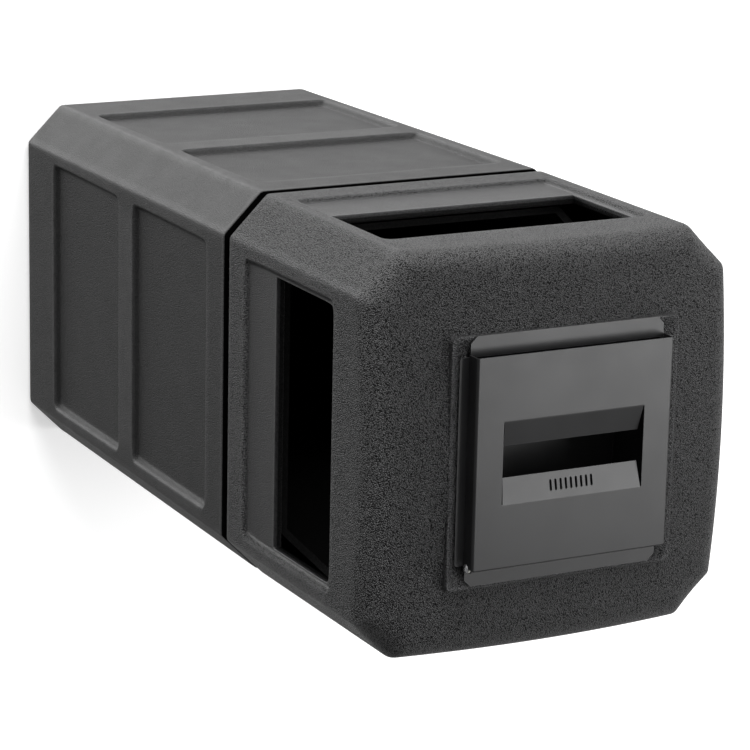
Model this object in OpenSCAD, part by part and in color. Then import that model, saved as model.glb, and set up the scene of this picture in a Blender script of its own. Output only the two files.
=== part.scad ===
// Outdoor litter bin with an ash tray, standing upright on the origin.
// A tapered octagonal base with two sunk panels a side holds a rigid liner. A lift-off hood
// with a waste mouth in each side drops over the neck of the base, and carries a steel ash
// tray under a hinged lid in its domed top. Millimetres, +Z up, front towards -Y.

/* [Base] */
// Width across the flats at the shoulder of the base
body_w = 470; // [460:2:480]
// Width across the flats on the floor
foot_w = 459; // [449:2:469]
// Height of the shoulder that the hood stands above
shoulder_h = 656; // [640:2:670]
// Leg of the cut corner of the octagon
corner_cut = 48; // [40:1:60]
// Depth of the sunk side panels
panel_depth = 8; // [4:0.5:9]
// Width of the sunk side panels at the surface
panel_w = 340; // [300:5:360]

/* [Hood] */
// Height of the hood from its rim to the top of its side walls
hood_side_h = 341.5; // [325:0.5:352]
// Radius between the hood's side walls and its top
hood_edge_r = 38; // [30:1:42]
// Width of a waste mouth
mouth_w = 326; // [280:2:330]
// Height of a waste mouth
mouth_h = 145; // [110:1:150]
// Height of the dome's highest point above the shoulder
crown_h = 404; // [401:1:407]
// Radius that the top is domed to
crown_r = 1290; // [1200:10:1500]

/* [Ash tray] */
// Width of the steel lid along its hinge
lid_w = 252; // [246:1:256]
// Width of the opening in the lid
slot_w = 179; // [150:1:190]
// Angle that the two tongues of the lid are bent down to
tongue_angle = 13; // [8:1:18]
// Number of stub-out slots
stub_slots = 9; // [5:2:11]
// Depth of the steel tray housing
housing_depth = 80; // [60:1:90]

/* [Hidden] */
$fn = 64;

big = 900;                      // longer than any part, for cutting prisms
half_body = body_w / 2;
half_foot = foot_w / 2;
floor_t = 8;                    // base floor
base_skin = 6.5;                // base wall behind a panel
base_in_low = half_foot - panel_depth - base_skin;
base_in_high = half_body - 12;
neck_half = half_body - 8;      // spigot that the hood fits over
neck_top = shoulder_h + 22.2;
panel_a = [101, 329];           // lower panel, from and to
panel_b = [372, 603];           // upper panel, from and to
draft = 8;                      // slope of a panel's border

rim_gap = 9;                    // open groove between shoulder and hood rim
hood_z = shoulder_h + rim_gap;
hood_top_z = hood_z + hood_side_h;
crown_z = shoulder_h + crown_h;
hood_skin = 5.5;
hood_panel_depth = 6;
hood_panel_w = 346;
hood_panel = [hood_z + 42.5, hood_z + 277.5];
hood_panel_half = half_body - hood_panel_depth;
hood_in_half = hood_panel_half - hood_skin;
ledge_z = neck_top + 0.3;       // ledge in the hood, just above the neck
hood_top_t = 12;
mouth_z = hood_z + 120;
mouth_r = 10;
mouth_lip = 4;                  // how far the mouth's edge turns in behind the wall

seat_half = 146;                // raised square seat of the ash tray
seat_z = crown_z - 5.7;
seat_sink = 6;                  // fall of the seat towards its opening

sheet = 1.5;                    // steel sheet of lid and housing
flange_z = seat_z + 1.7;        // top of the housing's flanges
house_x = 124;                  // half size of the housing, outside
house_y = 122;
flange_left = 146;              // reach of the flange on the -X side
flange_right = 142;             // reach of the flange on the hinge side
flange_side = 137;              // reach of the narrow flanges along the skirts
well_wall = 6;
well_gap = 0.8;                 // room between housing and the hood's well
well_depth = 45;

lid_top = flange_z + 19.4;
lid_left = -126;                // free edge of the lid
hinge_x = 118;                  // hinge axis, parallel to Y
hinge_z = flange_z + 6;
lid_right = hinge_x + 1;
slot_left = -50.5;              // the two fold lines of the lid's opening
slot_right = 44.5;
tongue_l = 30;
pin_r = 3;
pin_gap = 0.05;
lug_r = 8;

bucket_half_x = 118;
bucket_half_y = 115;
bucket_wall = 1;
bucket_z = flange_z - housing_depth + sheet + 0.2;
bucket_h = 64;

screw_x = 60;
screw_z = flange_z - 30;
screw_r = 2.5;

// A wall with two sloping sides: half_low wide at z = 0, half_high wide at z = h
module wedge(half_low, half_high, h, span = big) {
  rotate([90, 0, 0])
    linear_extrude(height = span, center = true)
      polygon([[-half_low, 0], [half_low, 0], [half_high, h], [-half_high, h]]);
}

// Distance of the cut corner's face from the axis
function cut_half(half, cut) = (2 * half - cut) / sqrt(2);

// Tapered octagonal block
module octagon_block(half_low, half_high, cut, h) {
  intersection() {
    wedge(half_low, half_high, h);
    rotate([0, 0, 90]) wedge(half_low, half_high, h);
    rotate([0, 0, 45]) wedge(cut_half(half_low, cut), cut_half(half_high, cut), h);
    rotate([0, 0, -45]) wedge(cut_half(half_low, cut), cut_half(half_high, cut), h);
  }
}

// Prism of a straight wall that turns over into the top with radius r, in flat steps
module rounded_wall(half, h, r) {
  lean = asin((half - r) / crown_r);
  steps = 6;
  turn = (90 - lean) / steps;
  side = [for (i = [0:steps]) [half - r + r * cos(i * turn), h + r * sin(i * turn)]];
  end = side[steps];
  peak = [0, end[1] + end[0] * tan(lean + 0.5)];
  mirrored = [for (i = [steps:-1:0]) [-side[i][0], side[i][1]]];
  rotate([90, 0, 0])
    linear_extrude(height = big, center = true)
      polygon(concat([[-half, 0], [half, 0]], side, [peak], mirrored));
}

// Octagonal block with straight walls, rounded edges and a domed top
module domed_block(half, cut, z_low, z_side, r, crown) {
  h = z_side - z_low;
  diagonal = cut_half(half, cut);
  intersection() {
    translate([0, 0, z_low])
      intersection() {
        rounded_wall(half, h, r);
        rotate([0, 0, 90]) rounded_wall(half, h, r);
        rotate([0, 0, 45]) rounded_wall(diagonal, h, r);
        rotate([0, 0, -45]) rounded_wall(diagonal, h, r);
      }
    translate([0, 0, crown - crown_r]) sphere(r = crown_r, $fn = 180);
  }
}

// The same thing on each of the four sides; the child is drawn for the -Y side
module four_sides() {
  for (turn = [0:90:270])
    rotate([0, 0, turn]) children();
}

// Block that cuts a sunk panel with sloping borders, out of the -Y side
module panel_cut(w, range, floor_half, depth, lean = 0) {
  high = range[1] - range[0];
  deep = depth + 4;
  spread = draft * deep / depth;
  translate([0, -floor_half, (range[0] + range[1]) / 2])
    rotate([90 + lean, 0, 0])
      intersection() {
        wedge(w / 2 - draft, w / 2 - draft + spread, deep);
        rotate([0, 0, 90]) wedge(high / 2 - draft, high / 2 - draft + spread, deep);
      }
}

// Half width of the base at a height
function base_half(z) = half_foot + (half_body - half_foot) * z / shoulder_h;

module base_panel(range) {
  middle = (range[0] + range[1]) / 2;
  lean = atan((half_body - half_foot) / shoulder_h);
  four_sides() panel_cut(panel_w, range, base_half(middle) - panel_depth, panel_depth, lean);
}

module base_shell() {
  color("dimgray")
    difference() {
      union() {
        octagon_block(half_foot, half_body, corner_cut, shoulder_h);
        translate([0, 0, shoulder_h - 1])
          octagon_block(neck_half, neck_half, corner_cut - 4, neck_top - shoulder_h + 1);
      }
      translate([0, 0, floor_t])
        octagon_block(base_in_low, base_in_high, corner_cut, shoulder_h - floor_t);
      translate([0, 0, shoulder_h - 1])
        octagon_block(base_in_high, base_in_high, corner_cut, 40);
      base_panel(panel_a);
      base_panel(panel_b);
    }
}

liner_z = floor_t + 0.2;
liner_h = 766;
liner_low = 200;
liner_high = 210;
liner_cut = 62;
liner_wall = 4;
liner_rim_w = 4;
liner_rim_h = 14;
grip_w = 110;
grip_h = 30;
grip_z = liner_z + liner_h - 60;

// Hand hole through the front and back walls of the liner
module grip_cut() {
  rotate([90, 0, 0])
    linear_extrude(height = big, center = true)
      union() {
        square([grip_w - grip_h, grip_h], center = true);
        translate([(grip_w - grip_h) / 2, 0]) circle(d = grip_h);
        translate([(grip_h - grip_w) / 2, 0]) circle(d = grip_h);
      }
}

module liner() {
  rim_half = liner_high + liner_rim_w;
  color("gray")
    difference() {
      union() {
        translate([0, 0, liner_z]) octagon_block(liner_low, liner_high, liner_cut, liner_h);
        translate([0, 0, liner_z + liner_h - liner_rim_h])
          octagon_block(rim_half, rim_half, liner_cut + 2, liner_rim_h);
      }
      translate([0, 0, liner_z + liner_wall])
        octagon_block(liner_low - liner_wall, liner_high - liner_wall, liner_cut - 2, liner_h);
      translate([0, 0, grip_z]) grip_cut();
    }
}

// Outline of a waste mouth: square at the bottom, rounded at the top
module mouth_outline(grow = 0) {
  w = mouth_w + 2 * grow;
  h = mouth_h + 2 * grow;
  union() {
    translate([-w / 2, -grow]) square([w, h - mouth_r]);
    translate([mouth_r - w / 2, -grow]) square([w - 2 * mouth_r, h]);
    translate([mouth_r - w / 2, h - mouth_r - grow]) circle(r = mouth_r);
    translate([w / 2 - mouth_r, h - mouth_r - grow]) circle(r = mouth_r);
  }
}

// Prism of the mouth's outline through the -Y wall, from one distance to another
module mouth_prism(from, to, grow = 0) {
  translate([0, -from, mouth_z])
    rotate([90, 0, 0])
      linear_extrude(height = to - from) mouth_outline(grow);
}

// Four-sided funnel that the seat falls into
module seat_funnel() {
  low_x = house_x + well_gap;
  low_y = house_y + well_gap;
  translate([0, 0, seat_z - seat_sink])
    intersection() {
      wedge(low_x, seat_half - 1 + (seat_half - low_x) / seat_sink, seat_sink + 1);
      rotate([0, 0, 90])
        wedge(low_y, seat_half - 1 + (seat_half - low_y) / seat_sink, seat_sink + 1);
    }
}

// Square well that hangs below the seat and takes the housing's screws
module seat_well() {
  w = 2 * (house_x + well_gap + well_wall);
  d = 2 * (house_y + well_gap + well_wall);
  translate([-w / 2, -d / 2, flange_z - well_depth]) cube([w, d, well_depth - 12]);
}

module seat_opening() {
  w = 2 * (house_x + well_gap);
  d = 2 * (house_y + well_gap);
  translate([-w / 2, -d / 2, flange_z - 2 * well_depth]) cube([w, d, 3 * well_depth]);
}

// Straight bores along Y for the four housing screws
module screw_bores(r) {
  for (x = [-screw_x, screw_x])
    translate([x, 0, screw_z])
      rotate([90, 0, 0]) cylinder(r = r, h = 300, center = true);
}

module hood_shell() {
  color("darkslategray")
    difference() {
      union() {
        difference() {
          union() {
            domed_block(half_body, corner_cut, hood_z, hood_top_z, hood_edge_r, crown_z);
            translate([-seat_half, -seat_half, seat_z - 20])
              cube([2 * seat_half, 2 * seat_half, 20]);
          }
          translate([0, 0, hood_z - 1])
            octagon_block(neck_half + 0.6, neck_half + 0.6, corner_cut - 3.6,
                          ledge_z - hood_z + 1);
          domed_block(hood_in_half, corner_cut - 2, ledge_z - 1, hood_top_z,
                      hood_edge_r - 12, crown_z - hood_top_t);
          four_sides()
            panel_cut(hood_panel_w, hood_panel, hood_panel_half, hood_panel_depth);
        }
        four_sides() mouth_prism(hood_in_half - mouth_lip, hood_in_half + 1, 5);
        seat_well();
      }
      four_sides() mouth_prism(hood_in_half - 20, half_body + 5);
      seat_funnel();
      seat_opening();
      screw_bores(screw_r + 0.2);
    }
}

// Rectangle with its four corners clipped, drawn from low to high
module clipped(low_x, high_x, half_y, clip) {
  polygon([[low_x + clip, -half_y], [high_x - clip, -half_y], [high_x, clip - half_y],
           [high_x, half_y - clip], [high_x - clip, half_y], [low_x + clip, half_y],
           [low_x, half_y - clip], [low_x, clip - half_y]]);
}

// Ear that the lid's hinge pin turns in, for the +Y side
module hinge_lug() {
  translate([hinge_x - lug_r, house_y - sheet, flange_z - 20])
    cube([2 * lug_r - 2, sheet, 26]);
  translate([hinge_x, house_y, hinge_z])
    rotate([90, 0, 0]) cylinder(r = lug_r - 2, h = sheet);
}

module both_ends() {
  children();
  mirror([0, 1, 0]) children();
}

module pin_bore(r) {
  translate([hinge_x, 0, hinge_z])
    rotate([90, 0, 0]) cylinder(r = r, h = 300, center = true);
}

module ash_housing() {
  box_z = flange_z - housing_depth;
  color("black")
    difference() {
      union() {
        translate([0, 0, flange_z - sheet])
          linear_extrude(height = sheet)
            union() {
              clipped(-flange_left, flange_right, house_x, 8);
              clipped(lid_left + 3, lid_right - 3, flange_side, 2);
            }
        translate([-house_x, -house_y, box_z])
          cube([2 * house_x, 2 * house_y, housing_depth]);
        both_ends() hinge_lug();
      }
      translate([-house_x + sheet, -house_y + sheet, box_z + sheet])
        cube([2 * (house_x - sheet), 2 * (house_y - sheet), housing_depth + 60]);
      pin_bore(pin_r + pin_gap);
      screw_bores(screw_r + 0.1);
    }
}

module ash_bucket() {
  rim = 2;
  color("silver")
    difference() {
      union() {
        translate([-bucket_half_x + rim, -bucket_half_y + rim, bucket_z])
          cube([2 * (bucket_half_x - rim), 2 * (bucket_half_y - rim), bucket_h]);
        translate([-bucket_half_x, -bucket_half_y, bucket_z + bucket_h - 5])
          cube([2 * bucket_half_x, 2 * bucket_half_y, 5]);
      }
      translate([-bucket_half_x + rim + bucket_wall, -bucket_half_y + rim + bucket_wall,
                 bucket_z + bucket_wall])
        cube([2 * (bucket_half_x - rim - bucket_wall), 2 * (bucket_half_y - rim - bucket_wall),
              bucket_h]);
    }
}

// Flat tongue that narrows to its end, lying along +X from its fold
module tongue_plate() {
  root = slot_w / 2;
  tip = root - 2.5;
  translate([0, 0, -sheet])
    linear_extrude(height = sheet)
      polygon([[-1, -root], [0, -root], [tongue_l, -tip], [tongue_l, tip],
               [0, root], [-1, root]]);
}

// One stub-out slot with round ends, along X
module stub_slot() {
  slot_l = 13;
  slot_r = 1.4;
  translate([tongue_l / 2, 0, -5])
    linear_extrude(height = 10)
      union() {
        square([slot_l - 2 * slot_r, 2 * slot_r], center = true);
        translate([slot_l / 2 - slot_r, 0]) circle(r = slot_r, $fn = 24);
        translate([slot_r - slot_l / 2, 0]) circle(r = slot_r, $fn = 24);
      }
}

module stub_tongue() {
  pitch = 6.6;
  difference() {
    tongue_plate();
    for (i = [0:stub_slots - 1])
      translate([0, (i - (stub_slots - 1) / 2) * pitch, 0]) stub_slot();
  }
}

module ash_lid() {
  skirt_h = lid_top - flange_z - 0.5;
  color("dimgray")
    difference() {
      union() {
        difference() {
          translate([lid_left, -lid_w / 2, lid_top - sheet])
            cube([lid_right - lid_left, lid_w, sheet]);
          translate([slot_left, -slot_w / 2 - 1, lid_top - 10])
            cube([slot_right - slot_left, slot_w + 2, 20]);
        }
        translate([slot_left, 0, lid_top]) rotate([0, tongue_angle, 0]) tongue_plate();
        translate([slot_right, 0, lid_top])
          rotate([0, 0, 180]) rotate([0, tongue_angle, 0]) stub_tongue();
        both_ends()
          translate([lid_left, lid_w / 2 - sheet, lid_top - skirt_h])
            cube([lid_right - lid_left, sheet, skirt_h]);
      }
      pin_bore(pin_r + pin_gap);
    }
}

// Hinge rivet at the +Y end: domed head outside the skirt, flat tail inside the lug
module hinge_rivet() {
  head_r = 5.5;
  tail_y = house_y - sheet - 0.3;
  translate([hinge_x, 0, hinge_z])
    rotate([-90, 0, 0]) {
      translate([0, 0, tail_y - 1.5]) cylinder(r = 4.2, h = 1.5);
      translate([0, 0, tail_y - 1]) cylinder(r = pin_r, h = lid_w / 2 - tail_y + 2);
      translate([0, 0, lid_w / 2])
        intersection() {
          cylinder(r = head_r, h = 3);
          translate([0, 0, -4]) sphere(r = 6.6);
        }
    }
}

module hinge_washer() {
  from = house_y + 0.3;
  to = lid_w / 2 - sheet;
  translate([hinge_x, to, hinge_z])
    rotate([90, 0, 0])
      difference() {
        cylinder(r = 5, h = to - from);
        translate([0, 0, -1]) cylinder(r = pin_r + pin_gap, h = 10);
      }
}

module hinge_rivet_back() {
  color("gainsboro") hinge_rivet();
}

module hinge_rivet_front() {
  color("gainsboro") mirror([0, 1, 0]) hinge_rivet();
}

module hinge_washer_back() {
  color("ivory") hinge_washer();
}

module hinge_washer_front() {
  color("ivory") mirror([0, 1, 0]) hinge_washer();
}

// Places a thing drawn along +Z at the four screws, running outwards
module at_screws() {
  both_ends()
    for (x = [-screw_x, screw_x])
      translate([x, 0, screw_z]) rotate([-90, 0, 0]) children();
}

well_out = house_y + well_gap + well_wall;
washer_t = 1.2;
nut_t = 4;

module housing_screws() {
  head = house_y - sheet;
  color("silver")
    at_screws() {
      translate([0, 0, head - 2.6]) cylinder(r = 4.6, h = 2.6);
      translate([0, 0, head - 1]) cylinder(r = screw_r, h = well_out - head + 8);
    }
}

module housing_washers() {
  color("lightgray")
    at_screws()
      translate([0, 0, well_out])
        difference() {
          cylinder(r = 6, h = washer_t);
          translate([0, 0, -1]) cylinder(r = screw_r + 0.1, h = 4);
        }
}

module housing_nuts() {
  color("gray")
    at_screws()
      translate([0, 0, well_out + washer_t])
        difference() {
          cylinder(r = 4.6, h = nut_t, $fn = 6);
          translate([0, 0, -1]) cylinder(r = screw_r + 0.05, h = 8);
        }
}

base_shell();
liner();
hood_shell();
ash_housing();
ash_bucket();
ash_lid();
hinge_rivet_front();
hinge_rivet_back();
hinge_washer_front();
hinge_washer_back();
housing_screws();
housing_washers();
housing_nuts();
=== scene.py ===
# %% [markdown]
# # A litter bin with an ash tray
#
# The bin is two big hollow mouldings in black plastic, a base and a loose hood, with a rigid liner
# inside and a folded steel ash tray in the top. The design, with its sizes and its joints, comes
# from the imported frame. This lesson makes the pieces that are seen up close: the two mouldings and
# the folded lid are built afresh as clean meshes, and every piece gets a finish of its own.

import math

import bmesh
import bpy
from mathutils import Matrix, Quaternion, Vector


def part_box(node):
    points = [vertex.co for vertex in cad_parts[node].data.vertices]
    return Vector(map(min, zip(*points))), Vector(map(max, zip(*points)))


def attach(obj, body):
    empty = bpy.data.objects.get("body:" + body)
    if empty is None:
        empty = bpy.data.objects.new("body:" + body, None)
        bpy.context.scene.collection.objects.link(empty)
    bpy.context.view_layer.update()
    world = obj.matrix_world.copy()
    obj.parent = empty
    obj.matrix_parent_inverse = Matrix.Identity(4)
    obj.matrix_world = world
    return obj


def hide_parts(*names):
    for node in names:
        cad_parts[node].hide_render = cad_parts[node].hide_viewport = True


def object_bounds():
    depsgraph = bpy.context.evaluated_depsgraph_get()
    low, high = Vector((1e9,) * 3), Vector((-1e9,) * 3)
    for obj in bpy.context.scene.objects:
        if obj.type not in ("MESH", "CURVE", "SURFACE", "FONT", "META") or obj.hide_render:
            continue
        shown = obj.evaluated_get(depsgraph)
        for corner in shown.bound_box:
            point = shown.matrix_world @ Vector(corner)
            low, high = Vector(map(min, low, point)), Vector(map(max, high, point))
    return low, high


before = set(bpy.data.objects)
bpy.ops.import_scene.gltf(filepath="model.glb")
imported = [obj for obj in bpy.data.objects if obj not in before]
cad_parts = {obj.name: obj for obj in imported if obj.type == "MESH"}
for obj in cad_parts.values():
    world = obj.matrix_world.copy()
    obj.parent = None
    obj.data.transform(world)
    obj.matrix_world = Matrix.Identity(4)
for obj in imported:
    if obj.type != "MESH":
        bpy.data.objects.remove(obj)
cad_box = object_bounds()
MM = 0.001
print("nodes", sorted(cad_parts))

# %% [markdown]
# The main heights and widths are read from the CAD pieces, so that the new shells stay in step with
# them: the shoulder of the base, the rim of the hood, the faces of the lid. Only what a box of the
# CAD doesn't say, such as how soft an edge is, gets a number of its own further down. All working
# sizes are in millimetres, and turn into metres where a mesh is made.

# %% Read the main sizes
low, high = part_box("base_shell")
HALF = high.x / MM
NECK_TOP = high.z / MM
low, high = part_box("hood_shell")
HOOD_Z = low.z / MM
SEAT_Z = high.z / MM
low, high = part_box("ash_lid")
LID_TOP = high.z / MM
LID_LEFT, LID_RIGHT, LID_HALF = low.x / MM, high.x / MM, high.y / MM
LID_FOOT = low.z / MM
FOOT_HALF = HALF - 5.5
NECK_H = 22.2
SHOULDER = NECK_TOP - NECK_H
CUT = 48
print(f"half {HALF:.1f}, shoulder {SHOULDER:.1f}, rim {HOOD_Z:.1f}, seat {SEAT_Z:.1f} mm")

# %% [markdown]
# ## The way a moulding is meshed
#
# A hollow moulding of this kind is one closed skin. It could be carved from boxes with booleans, but
# that leaves long thin triangles that shade badly. The easiest clean mesh is a stack of rings: each
# ring is the octagon at one height, and all rings have the same number of points, so that neighbours
# join up in quads. A ring here is four faces and four cut corners, each corner eased by a small
# radius. Points sit closer together where a panel's border will need them.


# %% Rings of an octagon
ARC_STEPS = 3
FLAT_STEPS = 3


def quarter(hu, hn, cut, r, cols, reach):
    """A quarter of a rounded octagon: the face towards -Y and the cut corner after it."""
    t = r * (math.sqrt(2) - 1)
    a = hu - cut - t
    scale = 1 if reach is None else a / reach
    pts = [(-a, -hn)] + [(u * scale, -hn) for u in cols] + [(a, -hn)]
    for i in range(1, ARC_STEPS + 1):
        w = math.radians(-90 + 45 * i / ARC_STEPS)
        pts.append((a + r * math.cos(w), -hn + r + r * math.sin(w)))
    ax, ay = pts[-1]
    w = math.radians(-45)
    bx, by = hu - r + r * math.cos(w), -hn + cut + t + r * math.sin(w)
    for i in range(1, FLAT_STEPS + 1):
        s = i / FLAT_STEPS
        pts.append((ax + (bx - ax) * s, ay + (by - ay) * s))
    for i in range(1, ARC_STEPS):
        w = math.radians(-45 + 45 * i / ARC_STEPS)
        pts.append((hu - r + r * math.cos(w), -hn + cut + t + r * math.sin(w)))
    return pts


def ring(hx, hy, cut, r, z, cols, reach=None):
    """Points of a rounded octagon; z is a height or a function of x and y."""
    pts = []
    for k in range(4):
        hu, hn = (hx, hy) if k % 2 == 0 else (hy, hx)
        turn = Matrix.Rotation(math.radians(90 * k), 2)
        for x, y in quarter(hu, hn, cut, r, cols, reach):
            p = turn @ Vector((x, y))
            pts.append(Vector((p.x, p.y, z(p.x, p.y) if callable(z) else z)))
    return pts


def both_ways(values):
    """A list of distances, and the same distances on the other side of the middle."""
    return sorted({-v for v in values} | set(values))


print("points in a bare ring", len(ring(HALF, HALF, CUT, 8, 0, [0])))

# %% [markdown]
# The sunk panels are pressed into the rings: a point inside a panel's outline moves in, by an amount
# that eases from nothing at the border to the full depth a few millimetres further on. That is how
# the mould makes them, with a sloping border so that the plastic lets go of the steel. The outline is
# a rectangle with rounded corners, and the distance to it is worked out exactly.


# %% Press a panel
PANEL_CORNER = 13


def inside(u, z, w, z0, z1):
    """How far a point is inside a rectangle with rounded corners; negative outside."""
    qx = abs(u) - w / 2 + PANEL_CORNER
    qz = abs(z - (z0 + z1) / 2) - (z1 - z0) / 2 + PANEL_CORNER
    out = math.hypot(max(qx, 0), max(qz, 0)) + min(max(qx, qz), 0)
    return PANEL_CORNER - out


def eased(s, slope):
    """0 at the border, 1 where the slope ends, with both ends rounded off."""
    s = min(max(s / slope, 0), 1)
    return s * s * (3 - 2 * s)


def press(pts, panels, depth, slope):
    """Moves the points of a ring in where they lie in a panel of their face."""
    n = len(pts) // 4
    for i, p in enumerate(pts):
        turn = Matrix.Rotation(math.radians(-90 * (i // n)), 2)
        u = (turn @ Vector((p.x, p.y))).x
        d = max(depth * eased(inside(u, p.z, *panel), slope) for panel in panels)
        if d > 0 and abs(u) < HALF - CUT:
            inward = turn.inverted() @ Vector((0, d))
            p.x += inward.x
            p.y += inward.y
    return pts


SLOPE = 8
BORDER = [0, 1.6, 3.2, 4.8, 6.4, 8]
print("depth along a panel's slope", [round(eased(b, SLOPE), 2) for b in BORDER])

# %% [markdown]
# The stack of rings then becomes a mesh. Where the skin has a hole, the quads inside its outline are
# left out. Joining ring to ring by hand keeps the order of the points known, and the mouths of the
# hood need that order later, to stitch a lip between the outer and the inner skin.


# %% Stack the rings
def stack(rings, closed, left_out=lambda i, j: False):
    """A mesh from rings, and its points by ring and place."""
    bm = bmesh.new()
    n = len(rings[0])
    grid = [[bm.verts.new(p * MM) for p in r] for r in rings]
    last = len(rings) if closed else len(rings) - 1
    for i in range(last):
        lower, upper = grid[i], grid[(i + 1) % len(rings)]
        for j in range(n):
            if left_out(i, j):
                continue
            k = (j + 1) % n
            bm.faces.new((lower[j], lower[k], upper[k], upper[j]))
    return bm, grid


# %% [markdown]
# Plastic is rubbed paler where it sticks out, and the finish also uses that paler edge as a painted
# highlight. Places in shade are painted almost black, as painted shade. The finish can find such places by
# itself only from the shape it is given, so each point stores how sharply the skin bulges there, worked
# out from how fast the normal turns. A bulge has a limit, because the few points where three edges meet
# would otherwise shine out. Places for painted shade get a negative number.


# %% Mark the edges
MOST_BULGE = 125


def mark_edges(bm, painted_shade_at):
    """Writes how sharply the skin bulges at each point, in 1/m, as the attribute edge; where shade is
    painted, the negative mark from the given function is written instead.
    """
    bm.normal_update()
    layer = bm.verts.layers.float.new("edge")
    for v in bm.verts:
        bulge = 0
        for e in v.link_edges:
            other = e.other_vert(v)
            step = v.co - other.co
            turning = (v.normal - other.normal).dot(step) / max(step.length_squared, 1e-9)
            bulge = max(bulge, turning)
        v[layer] = painted_shade_at(*(v.co / MM)) or min(bulge, MOST_BULGE)


# %% [markdown]
# Every moulding ends the same way. The normals are made to point out, the mesh becomes an object that
# rides on its body, and the CAD node it stands in for is hidden. One level of subdivision rounds what the
# rings leave faceted; the rings next to each edge keep that edge where it belongs.


# %% Finish a mesh
def finish_mesh(name, bm, body, *nodes, slot, painted_shade_at=lambda x, y, z: 0):
    """Turns the bmesh into a smooth piece that rides on its body and stands for its CAD nodes."""
    bmesh.ops.recalc_face_normals(bm, faces=bm.faces)
    mark_edges(bm, painted_shade_at)
    mesh = bpy.data.meshes.new(name)
    bm.to_mesh(mesh)
    bm.free()
    mesh.shade_smooth()
    obj = bpy.data.objects.new(name, mesh)
    bpy.context.scene.collection.objects.link(obj)
    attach(obj, body)
    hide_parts(*nodes)
    print(name, "faces", len(mesh.polygons))
    return obj


def subdivide(obj):
    rounder = obj.modifiers.new("rounder", "SUBSURF")
    rounder.levels = rounder.render_levels = 1


# %% [markdown]
# ## The base
#
# The base is a tall tub that tapers a little towards the floor, so that it leaves its mould. Two sunk
# panels in each side stiffen the wall. Its rings start in the middle of the underside, run up the
# outside, over the neck and down the inside to the middle of the floor.

# %% Base sizes
PANEL_W = 340
PANELS = [(PANEL_W, 101, 329), (PANEL_W, 372, 603)]
DEPTH = 8
CORNER_R = 8
FOOT_R = 13
FLOOR_T = 8
base_cols = both_ways([PANEL_W / 2 + 2.5] + [PANEL_W / 2 - b for b in BORDER]
                      + [157, 140, 112, 84, 56, 28, 0])
BASE_REACH = 176.5


def base_half(z):
    return FOOT_HALF + (HALF - FOOT_HALF) * z / SHOULDER


def base_ring(half, z, cut=CUT, r=CORNER_R):
    """A ring whose points keep their places along the wall, for the panels."""
    return ring(half, half, cut, r, z, base_cols)


def small_ring(half, z):
    """A ring that shrinks as a whole, for the underside and the inside."""
    return ring(half, half, CUT * half / HALF, CORNER_R * half / HALF, z, base_cols, BASE_REACH)


print("widest panel place", base_cols[-1], "mm from the middle")

# %% [markdown]
# The underside is flat and turns into the wall with a radius, which a hollow moulding always has
# where two faces meet. A quarter circle in four steps is enough, since subdivision rounds the rest.

# %% Underside and foot
base_rings = [small_ring(half, 0) for half in (2, 60, 120, 170, 205)]
for step in range(5):
    w = math.radians(-90 + 22.5 * step)
    base_rings.append(small_ring(FOOT_HALF - FOOT_R + FOOT_R * math.cos(w), FOOT_R + FOOT_R * math.sin(w)))
print("rings to the wall", len(base_rings))

# %% [markdown]
# The wall needs rings where something happens: close together across the borders of the panels, and
# far apart in between. Each ring is pressed in as it is made, so that both panels of all four sides
# come out alike.

# %% Wall with its panels
levels = [22, 45, 75, 92]
for w, z0, z1 in PANELS:
    levels += [z0 - 2.5] + [z0 + b for b in BORDER] + [z0 + 12]
    levels += [z0 + (z1 - z0) * f for f in (0.25, 0.5, 0.75)]
    levels += [z1 - 12] + [z1 - b for b in reversed(BORDER)] + [z1 + 2.5]
levels += [626, 640]
for z in sorted(set(levels)):
    base_rings.append(press(base_ring(base_half(z), z), PANELS, DEPTH, SLOPE))
print("wall rings", len(set(levels)))

# %% [markdown]
# At the top the wall turns in over a small radius to the shoulder. From there a neck, set in by 8 mm,
# stands up inside the hood and keeps it in place. The neck's lip is rounded by a few rings set close
# together, because a moulded rim is never sharp.

# %% Shoulder and neck
SHOULDER_R = 5
for step in range(4):
    w = math.radians(30 * step)
    half = HALF - SHOULDER_R + SHOULDER_R * math.cos(w)
    base_rings.append(base_ring(half, SHOULDER - SHOULDER_R + SHOULDER_R * math.sin(w)))
NECK = HALF - 8
NECK_CUT = CUT - 4
NECK_R = 12
NECK_T = 6
for half, z in ((NECK + 0.2, SHOULDER + 0.1), (NECK, SHOULDER + 1), (NECK, SHOULDER + 13),
                (NECK, NECK_TOP - 1.5), (NECK - 0.4, NECK_TOP - 0.4), (NECK - 1.5, NECK_TOP),
                (NECK - NECK_T + 1.5, NECK_TOP), (NECK - NECK_T + 0.4, NECK_TOP - 0.4),
                (NECK - NECK_T, NECK_TOP - 1.5), (NECK - NECK_T, SHOULDER - 12)):
    base_rings.append(base_ring(half, z, NECK_CUT, NECK_R))
print(f"neck {2 * NECK:.0f} mm across, {NECK_TOP - SHOULDER:.1f} mm high")

# %% [markdown]
# The inside is a plain tapering wall and a floor, seen only when the liner is lifted out. The stack is
# left open at both ends, and one many-sided face closes each end in the middle of the floor, where
# everything is flat. The foot of the open groove lies in the hood's shade, so its points are marked for
# painted shade: the finish paints them almost black and keeps them from reflecting.

# %% Inside of the base
for half, z in ((HALF - 12, 632), (HALF - 14, 480), (HALF - 16, 320), (HALF - 18, 160), (HALF - 20, 24),
                (HALF - 21.5, 14), (HALF - 26, FLOOR_T + 1.2), (HALF - 34, FLOOR_T),
                (140, FLOOR_T), (70, FLOOR_T), (2, FLOOR_T)):
    base_rings.append(small_ring(half, z))
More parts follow.
